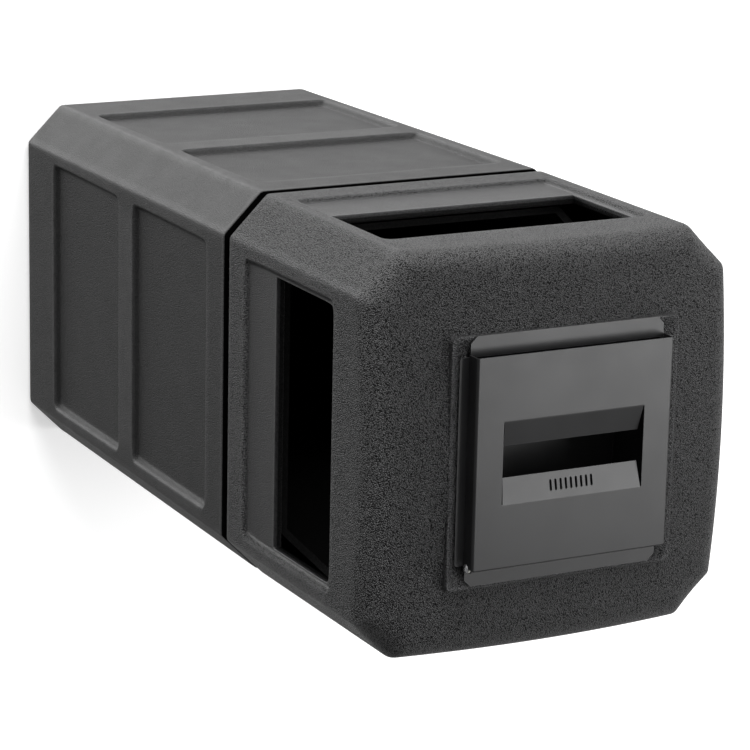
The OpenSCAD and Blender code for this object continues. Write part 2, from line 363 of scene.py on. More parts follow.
# A mark for full painted shade: the finish paints such places almost black.
FULL_PAINTED_SHADE = -100


def in_groove(x, y, z):
    return FULL_PAINTED_SHADE if SHOULDER - 2.6 < z < NECK_TOP - 8 else 0


bm, grid = stack(base_rings, closed=False)
bm.faces.new(list(reversed(grid[0])))
bm.faces.new(grid[-1])
base = finish_mesh("base_moulding", bm, "base", "base_shell", slot="base_plastic", painted_shade_at=in_groove)
subdivide(base)
print("base rings", len(base_rings), "points a ring", len(base_rings[0]))

# %% [markdown]
# ## The hood
#
# The hood is the same kind of stack, but it ends where it began: up the outside, over the dome,
# down through the square opening for the ash tray, and back along the inside to the rim. Its top
# is a shallow dome. A flat square seat stands a little proud of it, most at the corners, where
# the dome has already dropped away.

# %% Hood sizes
WALL_TOP = HOOD_Z + 341.5
EDGE_R = 38
CROWN = SEAT_Z + 5.7
CROWN_R = 1290
HOOD_PANEL = (346, HOOD_Z + 42.5, HOOD_Z + 277.5)
HOOD_DEPTH = 6
PANEL_HALF = HALF - HOOD_DEPTH
SKIN = 5.5
IN_HALF = PANEL_HALF - SKIN
MOUTH_HALF = 163
MOUTH_LOW = HOOD_Z + 120
MOUTH_HIGH = MOUTH_LOW + 145
MOUTH_R = 10
hood_cols = both_ways([175.5, 173, 171.4, 169.8, 168.2, 166.6, 165, MOUTH_HALF + 0.9, MOUTH_HALF,
                       MOUTH_HALF - 3, MOUTH_HALF - MOUTH_R, 130, 104, 78, 52, 26, 0])
HOOD_REACH = 181
hood_rings = []


def add(half, z, cut=CUT, r=CORNER_R, hy=None):
    """Adds a ring that shrinks as a whole, for the top and the opening."""
    hood_rings.append(ring(half, hy or half, cut, r, z, hood_cols, HOOD_REACH))


def add_wall(half, z, cut=CUT, r=CORNER_R):
    """Adds a ring whose points keep their places along the wall."""
    hood_rings.append(ring(half, half, cut, r, z, hood_cols))


print(f"crown {CROWN:.1f}, mouths {MOUTH_LOW:.1f} to {MOUTH_HIGH:.1f} mm")

# %% [markdown]
# The outside starts with a small radius at the rim, then climbs the wall through one large sunk panel
# a side. The levels of the mouths are rings too, since a mouth can only be cut along the grid.

# %% Hood wall
RIM_R = 4.5
for step in range(4):
    w = math.radians(30 * step)
    add_wall(HALF - RIM_R + RIM_R * math.sin(w), HOOD_Z + RIM_R - RIM_R * math.cos(w))
panel_low, panel_high = HOOD_PANEL[1:]
hood_levels = [HOOD_Z + 14, HOOD_Z + 32, panel_low - 2.5] + [panel_low + b for b in BORDER]
hood_levels += [panel_low + 30, panel_low + 60, MOUTH_LOW - 6, MOUTH_LOW - 0.9, MOUTH_LOW, MOUTH_LOW + 3]
hood_levels += [MOUTH_LOW + 40, MOUTH_LOW + 75, MOUTH_LOW + 110]
hood_levels += [MOUTH_HIGH - MOUTH_R, MOUTH_HIGH - 3, MOUTH_HIGH, MOUTH_HIGH + 0.9]
hood_levels += [panel_high - b for b in BORDER] + [panel_high + 2.5, panel_high + 25, WALL_TOP - 14]
hood_levels = sorted(set(hood_levels))
first_wall = len(hood_rings)
for z in hood_levels:
    add_wall(HALF, z)
    press(hood_rings[-1], [HOOD_PANEL], HOOD_DEPTH, SLOPE)
print("hood wall rings", len(hood_levels))

# %% [markdown]
# The edge between wall and dome is a generous radius. Each ring on it is the wall's octagon moved
# in by the same distance all round, which shortens the cut corners a little. Seen from the side the
# edge is bowed like the dome, so its height depends on how far a point is from the middle of its side.

# %% Edge of the dome
EDGE_STEPS = 8
SHORTENING = 0.586
lean = math.asin((HALF - EDGE_R) / CROWN_R)


def bowed(height):
    """Heights along a ring that is highest in the middle of each side."""
    return lambda x, y: height - min(abs(x), abs(y)) ** 2 / (2 * CROWN_R)


for step in range(EDGE_STEPS + 1):
    w = (math.pi / 2 - lean) * step / EDGE_STEPS
    inset = EDGE_R * (1 - math.cos(w))
    add(HALF - inset, bowed(WALL_TOP + EDGE_R * math.sin(w)), CUT - SHORTENING * inset,
        CORNER_R + 0.1 * inset)
print(f"the dome meets the edge at {math.degrees(lean):.1f} degrees")

# %% [markdown]
# From there the rings change step by step into the square of the seat, and every point takes its
# height from the dome. The seat then steps up, with a rounded border, and falls gently inside it
# towards the opening, where the flanges of the tray lie over it.

# %% Dome and seat
SEAT_HALF = 146
OPEN_X, OPEN_Y = 124.8, 122.8
TOP_STEPS = 7
SINK = 6


def dome(x, y):
    return CROWN - (x * x + y * y) / (2 * CROWN_R)


def above_dome(rise):
    return lambda x, y: dome(x, y) + rise


start_half = HALF - EDGE_R * (1 - math.sin(lean))
for step in range(1, TOP_STEPS + 1):
    s = step / TOP_STEPS
    half = start_half + (SEAT_HALF + 2.5 - start_half) * s
    cut = (CUT - SHORTENING * (HALF - start_half)) * (1 - s) + 4.5 * s
    add(half, dome, cut, 9 * (1 - s) + 6 * s)
for half, rise in ((SEAT_HALF + 0.9, 0.2), (SEAT_HALF + 0.2, 0.9)):
    add(half, above_dome(rise), 4.2, 6)
for half, z in ((SEAT_HALF, SEAT_Z - 1.3), (SEAT_HALF - 0.4, SEAT_Z - 0.4), (SEAT_HALF - 1.3, SEAT_Z),
                (SEAT_HALF - 3, SEAT_Z - 0.3)):
    add(half, z, 4, 5.5)
for s in (0.4, 0.8, 0.95):
    hx = SEAT_HALF - 2 + (OPEN_X - SEAT_HALF + 2) * s
    hy = SEAT_HALF - 2 + (OPEN_Y - SEAT_HALF + 2) * s
    add(hx, SEAT_Z - SINK * s, 3 - 2 * s, 3 - 1.5 * s, hy=hy)
print(f"the seat stands {SEAT_Z - dome(SEAT_HALF, SEAT_HALF):.1f} mm proud at its corners")

# %% [markdown]
# The opening goes down as a square well round the ash tray's housing, whose screws go through its walls.
# Its lower lip turns round and the skin climbs back up outside the well to the underside of the
# dome, 12 mm below the dome's outside.

# %% Well and underside of the dome
WELL_T = 6
WELL_Z = SEAT_Z + 1.7 - 45
TOP_T = 12
for grow, z in ((0, SEAT_Z - SINK - 1), (0, WELL_Z + 1), (0.8, WELL_Z), (WELL_T - 0.8, WELL_Z),
                (WELL_T, WELL_Z + 1), (WELL_T, CROWN - 22)):
    add(OPEN_X + grow, z, 1, 1.5, hy=OPEN_Y + grow)
IN_R = EDGE_R - TOP_T
IN_STEPS = 5
in_lean = math.asin((IN_HALF - IN_R) / CROWN_R)
for s in (0.1, 0.4, 0.7):
    half = OPEN_X + 7 + (IN_HALF - IN_R - OPEN_X - 7) * s
    add(half, above_dome(-TOP_T), 4 + 20 * s, 4 + 4 * s)
for step in reversed(range(IN_STEPS + 1)):
    w = (math.pi / 2 - in_lean) * step / IN_STEPS
    inset = IN_R * (1 - math.cos(w))
    add(IN_HALF - inset, min(WALL_TOP + IN_R * math.sin(w), CROWN - 26), CUT - 2 - SHORTENING * inset, 10)
print(f"well {SEAT_Z - WELL_Z:.1f} mm deep")

# %% [markdown]
# The inside wall repeats the outside's levels, so that both skins have a ring at the bottom and at
# the top of each mouth. Low down a ledge rests on the neck of the base, and a thinner skirt hangs
# from it round the neck, down to the rim where the stack began.

# %% Inside wall, ledge and skirt
inner_levels = [z for z in reversed(hood_levels) if z > NECK_TOP + 4]
last_wall = len(hood_rings)
for z in inner_levels:
    add_wall(IN_HALF, z, CUT - 2, 10)
LEDGE = NECK_TOP + 0.3
BORE = NECK + 0.6
for half, z in ((IN_HALF, LEDGE + 2), (IN_HALF + 0.4, LEDGE + 0.3), (IN_HALF + 1.6, LEDGE),
                (NECK - 0.6, LEDGE), (BORE, LEDGE - 0.9), (BORE, LEDGE - 2.4), (BORE, HOOD_Z + 1.8),
                (NECK + 1, HOOD_Z + 0.5), (NECK + 2.2, HOOD_Z)):
    add_wall(half, z, CUT - 3.6, 10)
print("hood rings", len(hood_rings))

# %% [markdown]
# Each of the four mouths is a hole through both skins. On the outer skin it starts right at the
# border of the sunk panel, and its two upper corners are round. The quads inside its outline are
# found by their place in the grid: which ring, and how far along the side.

# %% Where the mouths are
per_side = len(hood_rings[0]) // 4
mouth_from = hood_cols.index(-MOUTH_HALF) + 1
mouth_to = hood_cols.index(MOUTH_HALF) + 1
outer_low = first_wall + hood_levels.index(MOUTH_LOW)
outer_high = first_wall + hood_levels.index(MOUTH_HIGH)
inner_high = last_wall + inner_levels.index(MOUTH_HIGH)
inner_low = last_wall + inner_levels.index(MOUTH_LOW)


def in_mouth(i, j):
    if not mouth_from <= j % per_side < mouth_to:
        return False
    return outer_low <= i < outer_high or inner_high <= i < inner_low


def mouth_loop(side, low_i, high_i):
    """Grid places round a mouth: along the bottom, up, back along the top and down."""
    a, b = mouth_from, mouth_to
    step = 1 if high_i > low_i else -1
    up = list(range(low_i, high_i + step, step))
    places = [(low_i, c) for c in range(a, b)] + [(i, b) for i in up[:-1]]
    places += [(high_i, c) for c in range(b, a, -1)] + [(i, a) for i in reversed(up[1:])]
    return [(i, side * per_side + c) for i, c in places]


print("points round a mouth", len(mouth_loop(0, outer_low, outer_high)))

# %% [markdown]
# The grid is square, and a mouth isn't. So the points on its border are moved onto the true outline,
# square at the bottom and round at the top. The same outline, grown by a few millimetres, also
# gives the loops of the lip further in.


# %% Outline of a mouth
def outline(u, z, grow):
    """The nearest point of a mouth's outline, square at the bottom and round at the top."""
    r = MOUTH_R
    du, dz = abs(u) - MOUTH_HALF + r, z - MOUTH_HIGH + r
    side = 1 if u > 0 else -1
    if du > 0 and dz > 0:
        share = (r + grow) / math.hypot(du, dz)
        return side * (MOUTH_HALF - r + du * share), MOUTH_HIGH - r + dz * share
    if abs(u) >= MOUTH_HALF - 0.01:
        u = side * (MOUTH_HALF + grow)
    if z >= MOUTH_HIGH - 0.01:
        z = MOUTH_HIGH + grow
    if z <= MOUTH_LOW + 0.01:
        z = MOUTH_LOW - grow
    return u, z


# %% [markdown]
# The plastic turns in round the hole as a lip about 11 mm deep, which stiffens the wall and hides its
# cut edge. Each lip is a row of loops from the outer skin to the inner one, stitched with quads: in
# through the wall, round the lip's end, and back to the inner skin a little further out.

# %% Build the hood with its lips
LIP_GROW = 5
LIP_END = IN_HALF - 5.5
LIP = [(0, PANEL_HALF - 0.9), (0, PANEL_HALF - 5), (0, LIP_END + 0.9), (0.6, LIP_END),
       (LIP_GROW - 0.8, LIP_END), (LIP_GROW, LIP_END + 0.9)]
bm, grid = stack(hood_rings, closed=True, left_out=in_mouth)


def on_mouth(turn, u, z, grow, depth):
    """A place on the outline of one side's mouth, depth mm from the middle of the bin."""
    u, z = outline(u, z, grow)
    return turn @ Vector((u, -depth, z)) * MM


for side in range(4):
    turn = Matrix.Rotation(math.radians(90 * side), 3, "Z")
    outer = [grid[i][j] for i, j in mouth_loop(side, outer_low, outer_high)]
    inner = [grid[i][j] for i, j in mouth_loop(side, inner_low, inner_high)]
    flat = [((turn.inverted() @ v.co).x / MM, v.co.z / MM) for v in outer]
    for v, (u, z) in zip(outer, flat):
        v.co = on_mouth(turn, u, z, 0, PANEL_HALF)
    for v, (u, z) in zip(inner, flat):
        v.co = on_mouth(turn, u, z, LIP_GROW, IN_HALF)
    loops = [outer]
    for grow, depth in LIP:
        loops.append([bm.verts.new(on_mouth(turn, u, z, grow, depth)) for u, z in flat])
    loops.append(inner)
    for one, two in zip(loops, loops[1:]):
        for k in range(len(one)):
            m = (k + 1) % len(one)
            bm.faces.new((one[k], one[m], two[m], two[k]))

# %% [markdown]
# The rim at the groove lies in shade and gets full painted shade, and the lips and the inner skin get part
# of it: their colour is painted blacker than the outside, and they reflect less.

# %% Finish the hood
PART_PAINTED_SHADE = -62


def under_hood(x, y, z):
    """How much painted shade a place gets: the rim most, the lips and the inner skin less."""
    if z < HOOD_Z + 2:
        return FULL_PAINTED_SHADE
    to_corner = (2 * HALF - CUT - abs(x) - abs(y)) / math.sqrt(2)
    depth = min(HALF - max(abs(x), abs(y)), to_corner)
    return PART_PAINTED_SHADE if depth > HOOD_DEPTH + 1.5 and z < WALL_TOP - 5 else 0


hood = finish_mesh("hood_moulding", bm, "hood", "hood_shell", slot="hood_plastic", painted_shade_at=under_hood)
subdivide(hood)

# %% [markdown]
# ## The ash lid
#
# The lid is one piece of sheet steel, 1.5 mm thick: a flat plate whose two ends are folded down as
# skirts round a small radius, with an opening from which two tongues are bent inwards. It could be
# cut from a block, but modelling the outer face as a sheet and giving it thickness afterwards is
# what a press brake does too. The profile below runs across the lid, from skirt foot to skirt foot.

# %% Profile of the lid
SHEET = 1.5
BEND_R = 3
SLOT_X = (-50.5, 44.5)
SLOT_HALF = 90.6
TONGUE_HALF = 89.2
FOLD_ROOM = 1.2
profile = [(-LID_HALF, LID_FOOT), (-LID_HALF, (LID_FOOT + LID_TOP) / 2), (-LID_HALF, LID_TOP - BEND_R)]
for step in range(1, 6):
    w = math.radians(18 * step)
    profile.append((-LID_HALF + BEND_R - BEND_R * math.cos(w), LID_TOP - BEND_R + BEND_R * math.sin(w)))
profile += [(-SLOT_HALF, LID_TOP), (-TONGUE_HALF, LID_TOP), (-45, LID_TOP), (0, LID_TOP)]
profile += [(-y, z) for y, z in reversed(profile[:-1])]
print("profile points", len(profile))

# %% [markdown]
# Rows of that profile along the lid make the plate. The quads of the opening are left out. A row just
# beside each fold of a tongue keeps the plate's shading flat right up to the fold.

# %% Plate and skirts
rows = [LID_LEFT, -88, SLOT_X[0] - FOLD_ROOM, SLOT_X[0], -3, SLOT_X[1], SLOT_X[1] + FOLD_ROOM, 82,
        LID_RIGHT - 2]
bm = bmesh.new()
grid = [[bm.verts.new(Vector((x, y, z)) * MM) for y, z in profile] for x in rows]
for i in range(len(rows) - 1):
    for j in range(len(profile) - 1):
        middle = (profile[j][0] + profile[j + 1][0]) / 2
        if rows[i] >= SLOT_X[0] and rows[i + 1] <= SLOT_X[1] and abs(middle) < SLOT_HALF:
            continue
        bm.faces.new((grid[i][j], grid[i + 1][j], grid[i + 1][j + 1], grid[i][j + 1]))
print("plate faces", len(bm.faces))

# %% [markdown]
# The two tongues start at the opening's long sides and slope in and down, so that a stub slides into
# the tray. They get a little narrower towards their ends, as bent tongues do to clear the sheet
# they were cut from.

# %% Tongues
TONGUE_L = 30
TONGUE_DOWN = math.radians(13)
TAPER = 2.5


def extend(previous, loop):
    """Joins a new row of points to the row before it, and gives it back as the last row."""
    for k in range(len(loop) - 1):
        bm.faces.new((previous[k], loop[k], loop[k + 1], previous[k + 1]))
    return loop


for fold, way in ((rows.index(SLOT_X[0]), 1), (rows.index(SLOT_X[1]), -1)):
    root = [(j, y) for j, (y, z) in enumerate(profile) if abs(y) <= TONGUE_HALF and z > LID_TOP - 0.01]
    previous = [grid[fold][j] for j, y in root]
    for share in (0.06, 0.5, 1.0):
        narrow = 1 - TAPER * share / TONGUE_HALF
        x = rows[fold] + way * TONGUE_L * share * math.cos(TONGUE_DOWN)
        z = LID_TOP - TONGUE_L * share * math.sin(TONGUE_DOWN)
        previous = extend(previous, [bm.verts.new(Vector((x, y * narrow, z)) * MM) for j, y in root])
bmesh.ops.remove_doubles(bm, verts=bm.verts, dist=1e-6)
print(f"tongues reach {TONGUE_L * math.sin(TONGUE_DOWN):.1f} mm down")

# %% [markdown]
# The end over the hinge is rolled down a few millimetres, which stiffens it and covers the gap to the
# housing. Then the solidify modifier gives the sheet its thickness, inwards from the outer face.

# %% Hinge end and thickness
end_row = [v for v, (y, z) in zip(grid[-1], profile) if z > LID_TOP - 0.01]
previous = end_row
for dx, drop in ((0.8, 0.15), (1.5, 0.6), (1.9, 1.3), (2.0, 2.2), (2.0, 5.0)):
    previous = extend(previous, [bm.verts.new(v.co + Vector((dx, 0, -drop)) * MM) for v in end_row])
lid = finish_mesh("ash_lid_sheet", bm, "lid", "ash_lid", slot="coated_steel")
if lid.data.polygons[len(lid.data.polygons) // 2].normal.z < 0:
    lid.data.flip_normals()
thick = lid.modifiers.new("sheet", "SOLIDIFY")
thick.thickness = SHEET * MM
thick.offset = -1

# %% [markdown]
# Nine round-ended slots in the tongue at the hinge side are for stubbing out. They could be left out
# of the sheet as faces, but a punch is simpler. Its shape is a bar with two round ends, much deeper
# than the sheet is thick, so that it goes right through.


# %% A round-ended punch
def capsule(bm, centre, length, r, deep, turn):
    """A bar with round ends, length along its own X, deep along its own Z."""
    rim = []
    for end in (1, -1):
        for i in range(9):
            w = math.radians(-90 + 180 * i / 8)
            rim.append(Vector((end * (length / 2 - r) + end * r * math.cos(w), end * r * math.sin(w), 0)))
    half_deep = Vector((0, 0, deep / 2))
    top = [bm.verts.new((centre + turn @ (p + half_deep)) * MM) for p in rim]
    bottom = [bm.verts.new((centre + turn @ (p - half_deep)) * MM) for p in rim]
    bm.faces.new(top)
    bm.faces.new(list(reversed(bottom)))
    for i in range(len(rim)):
        k = (i + 1) % len(rim)
        bm.faces.new((top[i], bottom[i], bottom[k], top[k]))


# %% [markdown]
# One cutter holds all nine bars, tilted like the tongue, and a boolean takes it away from the sheet in
# one go. The thickness and the slots are then made permanent, so that the bevel that follows works
# on a plain mesh.

# %% Punch the stub-out slots
STUBS = 9
STUB_PITCH = 6.6
STUB_L = 13
STUB_R = 1.4
bm = bmesh.new()
reach = TONGUE_L / 2
middle = Vector((SLOT_X[1] - reach * math.cos(TONGUE_DOWN), 0, LID_TOP - reach * math.sin(TONGUE_DOWN)))
tilt = Matrix.Rotation(-TONGUE_DOWN, 3, "Y")
for i in range(STUBS):
    along = Vector((0, (i - (STUBS - 1) / 2) * STUB_PITCH, 0))
    capsule(bm, middle + along, STUB_L, STUB_R, 10, tilt)
bmesh.ops.recalc_face_normals(bm, faces=bm.faces)
mesh = bpy.data.meshes.new("stub_cutter")
bm.to_mesh(mesh)
bm.free()
cutter = bpy.data.objects.new("stub_cutter", mesh)
bpy.context.scene.collection.objects.link(cutter)
punch = lid.modifiers.new("punch", "BOOLEAN")
punch.operation = "DIFFERENCE"
punch.solver = "EXACT"
punch.object = cutter
bpy.context.view_layer.update()
punched = bpy.data.meshes.new_from_object(lid.evaluated_get(bpy.context.evaluated_depsgraph_get()))
lid.modifiers.clear()
lid.data = punched
bpy.data.objects.remove(cutter)
print("lid faces", len(lid.data.polygons))

# %% [markdown]
# Sheared edges are never knife sharp: tumbling and coating leave them broken by about a third of a
# millimetre. A bevel on every edge sharper than a set angle does that, and weighted normals keep
# the flat faces flat although the whole mesh is shaded smooth.


# %% Break the edges
def break_edges(obj, width):
    """Small bevel on every real edge, and flat faces that still shade flat."""
    edges = obj.modifiers.new("edges", "BEVEL")
    edges.width = width * MM
    edges.segments = 2
    edges.limit_method = "ANGLE"
    edges.angle_limit = math.radians(35)
    obj.data.shade_smooth()
    even_out = obj.modifiers.new("flat_faces", "WEIGHTED_NORMAL")
    even_out.keep_sharp = True


break_edges(lid, 0.3)

# %% [markdown]
# ## Finishes
#
# Every finish is worked out by the material itself, from the place on the piece, so nothing has to be
# unwrapped or painted. These few helpers each add one node or a small group, and keep the recipes
# further down short enough to read: noise for patches, a range to stretch it, a blend of two
# colours, a sum, and a bump. Places come in metres, so a noise of scale 9 has patches of 11 cm.


# %% Node helpers
def new_material(name):
    """An empty material, its node tree, its shader and the place on the piece."""
    mat = bpy.data.materials.new(name)
    mat.use_nodes = True
    tree = mat.node_tree
    shader = tree.nodes["Principled BSDF"]
    coord = tree.nodes.new("ShaderNodeTexCoord")
    return mat, tree, shader, coord.outputs["Object"]


def noise(tree, place, scale, detail=3.0, rough=0.5):
    n = tree.nodes.new("ShaderNodeTexNoise")
    n.inputs["Scale"].default_value = scale
    n.inputs["Detail"].default_value = detail
    n.inputs["Roughness"].default_value = rough
    tree.links.new(place, n.inputs["Vector"])
    return n.outputs["Fac"]


def spread(tree, value, low, high, from_low=0.3, from_high=0.7):
    """Stretches a value to the range low to high, and holds it there."""
    n = tree.nodes.new("ShaderNodeMapRange")
    n.inputs["From Min"].default_value = from_low
    n.inputs["From Max"].default_value = from_high
    n.inputs["To Min"].default_value = low
    n.inputs["To Max"].default_value = high
    tree.links.new(value, n.inputs["Value"])
    return n.outputs["Result"]


def blend(tree, share, a, b):
    """Colour a where share is 0 and b where it is 1; each is a colour or another node's output."""
    n = tree.nodes.new("ShaderNodeMix")
    n.data_type = "RGBA"
    for socket, colour in ((n.inputs["A"], a), (n.inputs["B"], b)):
        if isinstance(colour, tuple):
            socket.default_value = (*colour, 1)
        else:
            tree.links.new(colour, socket)
    tree.links.new(share, n.inputs["Factor"])
    return n.outputs["Result"]


def maths(tree, kind, a, b=0):
    n = tree.nodes.new("ShaderNodeMath")
    n.operation = kind
    for socket, v in zip(n.inputs, (a, b)):
        if isinstance(v, (int, float)):
            socket.default_value = v
        else:
            tree.links.new(v, socket)
    return n.outputs[0]


def plus(tree, a, b):
    return maths(tree, "ADD", a, b)


def times(tree, a, b):
    return maths(tree, "MULTIPLY", a, b)


def bump(tree, shader, height, distance, strength=1.0):
    n = tree.nodes.new("ShaderNodeBump")
    n.inputs["Distance"].default_value = distance * MM
    n.inputs["Strength"].default_value = strength
    tree.links.new(height, n.inputs["Height"])
    tree.links.new(n.outputs["Normal"], shader.inputs["Normal"])


# %% [markdown]
# The hood's plastic has a pebbled grain, cast from the mould. Voronoi cells give the pebbles. Their
# places are first shaken by a noise, or they would look like a honeycomb, and a finer noise roughens
# their tops.


# %% Pebbled grain
def pebbles(tree, place, size, smooth):
    """Height of the grain, and the fine noise in it. size is one pebble in mm; smooth gives how
    much of the grain is left in a place."""
    cells = tree.nodes.new("ShaderNodeTexVoronoi")
    cells.feature = "SMOOTH_F1"
    cells.inputs["Scale"].default_value = 1 / (size * MM)
    cells.inputs["Smoothness"].default_value = 0.2
    warp = tree.nodes.new("ShaderNodeTexNoise")
    warp.inputs["Scale"].default_value = 0.6 / (size * MM)
    tree.links.new(place, warp.inputs["Vector"])
    shake = tree.nodes.new("ShaderNodeVectorMath")
    shake.operation = "SCALE"
    shake.inputs["Scale"].default_value = size * MM * 0.8
    tree.links.new(warp.outputs["Color"], shake.inputs[0])
    shaken = tree.nodes.new("ShaderNodeVectorMath")
    shaken.operation = "ADD"
    tree.links.new(place, shaken.inputs[0])
    tree.links.new(shake.outputs[0], shaken.inputs[1])
    tree.links.new(shaken.outputs[0], cells.inputs["Vector"])
    fine = noise(tree, place, 1.6 / (size * MM), 3, 0.6)
    height = plus(tree, times(tree, cells.outputs["Distance"], -1.0), times(tree, fine, 0.35))
    if smooth:
        height = times(tree, plus(tree, height, 0.3), smooth(tree, place))
    return height, fine


# %% [markdown]
# Polyethylene that has stood outdoors isn't one even black. Its colour and gloss drift a little over ten
# centimetres or so. The valleys of the grain are duller than the tops, and are painted darker as painted
# shade. The edges are rubbed paler, and that paler edge is also a painted highlight; places marked for
# painted shade are painted almost black. All of that comes from the grain's height and from the attribute
# edge, which was stored in the mesh earlier.


# %% Moulded plastic
def moulded_plastic(name, dark, light, pebble, depth, gloss, relief, shine, smooth=None):
    """Grained plastic. pebble is the size of a grain in mm and depth its height, gloss the range of
    roughness, relief the heights that count as valley and top, shine how strongly valley and
    top reflect, and smooth a function that gives how much grain is left in a place."""
    mat, tree, shader, place = new_material(name)
    height, fine = pebbles(tree, place, pebble, smooth)
    bump(tree, shader, height, depth)
    tops = spread(tree, height, 0, 1, *relief)
    drift = noise(tree, place, 9, 4)
    # Darker in the grain's valleys, as painted shade; the drift is the plastic's own uneven tone.
    colour = blend(tree, plus(tree, times(tree, tops, 0.75), times(tree, drift, 0.25)), dark, light)
    edge = tree.nodes.new("ShaderNodeAttribute")
    edge.attribute_name = "edge"
    # Paler and glossier on bulging edges: partly rubbed wear, partly a painted highlight.
    worn = spread(tree, edge.outputs["Fac"], 0, 1, 60, 210)
    free_of_painted_shade = spread(tree, edge.outputs["Fac"], 0, 1, -80, -5)
    wear_and_highlight = times(tree, worn, spread(tree, noise(tree, place, 60, 4), 0.35, 0.8))
    rubbed_and_highlit = blend(tree, wear_and_highlight, colour, tuple(2.5 * c + 0.012 for c in light))
    # Painted shade: where the attribute edge is negative, the colour is painted almost black and the
    # specular level is cut.
    tree.links.new(blend(tree, free_of_painted_shade, (0.001, 0.001, 0.001), rubbed_and_highlit), shader.inputs["Base Color"])
    dull = plus(tree, spread(tree, noise(tree, place, 25, 3), *gloss), times(tree, fine, 0.08))
    tree.links.new(plus(tree, dull, times(tree, wear_and_highlight, -0.10)), shader.inputs["Roughness"])
    sheen = plus(tree, spread(tree, height, *shine, *relief), times(tree, wear_and_highlight, 0.4))
    tree.links.new(times(tree, sheen, free_of_painted_shade), shader.inputs["Specular IOR Level"])
    return mat


# %% [markdown]
# The mould of the hood was grained only on the frame and the dome; the sunk panels are nearly
# smooth. Instead of painting that by hand, the grain is switched by place: full where the skin is
# proud of the panels, on the cut corners and above the panels, and a quarter elsewhere.


# %% Where the grain is
LITTLE = 0.25


def grain_left(tree, place):
    """All of the grain on the hood's frame and dome, a quarter of it in the sunk panels."""
    split = tree.nodes.new("ShaderNodeSeparateXYZ")
    tree.links.new(place, split.inputs[0])
    across, along = (maths(tree, "ABSOLUTE", split.outputs[axis]) for axis in "XY")
    out = maths(tree, "MAXIMUM", across, along)
    both = plus(tree, across, along)
    edge = PANEL_HALF * MM
    frame_part = spread(tree, out, LITTLE, 1, edge + 0.5 * MM, edge + 3.5 * MM)
    corner_part = spread(tree, both, LITTLE, 1, edge + 176 * MM, edge + 182 * MM)
    top_part = spread(tree, split.outputs["Z"], 0, 1, (panel_high + 4) * MM, (panel_high + 12) * MM)
    return maths(tree, "MAXIMUM", maths(tree, "MAXIMUM", frame_part, corner_part), top_part)


# %% [markdown]
# The same recipe makes three plastics. The hood has the coarse grain, the base came from a smoother
# mould and has a finer and much shallower one, and the liner is plain and almost black.

# %% The three plastics
hood_plastic = moulded_plastic("pebbled_plastic", (0.003, 0.003, 0.003), (0.019, 0.019, 0.020),
                               pebble=1.45, depth=1.8, gloss=(0.30, 0.36), relief=(-0.28, 0.21),
                               shine=(0.06, 0.92), smooth=grain_left)
base_plastic = moulded_plastic("satin_plastic", (0.010, 0.010, 0.010), (0.018, 0.018, 0.0185),
                               pebble=1.5, depth=0.45, gloss=(0.38, 0.44), relief=(-0.45, 0.05),
                               shine=(0.27, 0.48))
liner_plastic = moulded_plastic("liner_plastic", (0.003, 0.003, 0.003), (0.006, 0.006, 0.006),
                                pebble=2.4, depth=0.06, gloss=(0.42, 0.5), relief=(-0.4, 0.1),
                                shine=(0.1, 0.15))
hood.data.materials.append(hood_plastic)
base.data.materials.append(base_plastic)
print("nodes in the hood's plastic", len(hood_plastic.node_tree.nodes))

# %% [markdown]
# The ash tray is powder coated. A cured coat is smooth to the eye but has a faint orange peel, a
# ripple of a millimetre or two, and it wears thin on folded edges first. A bevel node finds those
# edges: where the softened normal differs from the true one, an edge is near.


# %% Powder coat
def near_edge(tree, reach):
    """How much of the coat is worn through: most on an edge, nothing reach mm away from it."""
    soft = tree.nodes.new("ShaderNodeBevel")
    soft.samples = 4
    soft.inputs["Radius"].default_value = reach * MM
    true = tree.nodes.new("ShaderNodeNewGeometry")
    dot = tree.nodes.new("ShaderNodeVectorMath")
    dot.operation = "DOT_PRODUCT"
    tree.links.new(soft.outputs["Normal"], dot.inputs[0])
    tree.links.new(true.outputs["Normal"], dot.inputs[1])
    return spread(tree, dot.outputs["Value"], 0.7, 0, 0.90, 0.995)


def coated_steel(name, dark, light, bared):
    mat, tree, shader, place = new_material(name)
    peel = noise(tree, place, 700, 2)
    speck = noise(tree, place, 3500, 2)
    bump(tree, shader, plus(tree, peel, times(tree, speck, 0.3)), 0.03)
    colour = blend(tree, spread(tree, noise(tree, place, 14, 4), 0, 1), dark, light)
    worn = times(tree, near_edge(tree, 0.9), spread(tree, noise(tree, place, 120, 3), 0, 1))
    tree.links.new(blend(tree, worn, colour, bared), shader.inputs["Base Color"])
    tree.links.new(spread(tree, noise(tree, place, 30, 3), 0.33, 0.37), shader.inputs["Roughness"])
    shader.inputs["Specular IOR Level"].default_value = 0.44
    return mat


coat = coated_steel("powder_coat", (0.006, 0.006, 0.0065), (0.010, 0.010, 0.0105), (0.10, 0.10, 0.105))
lid.data.materials.clear()
lid.data.materials.append(coat)
print("lid in", lid.data.materials[0].name)

# %% [markdown]
# Rivets and screws are bare or blackened steel. What makes small steel look real is that no patch of
# it reflects quite like the next, so a Voronoi pattern gives every cell its own tone and its own
# roughness. The two spacing washers are pale nylon, with a fine tooth from the mould.


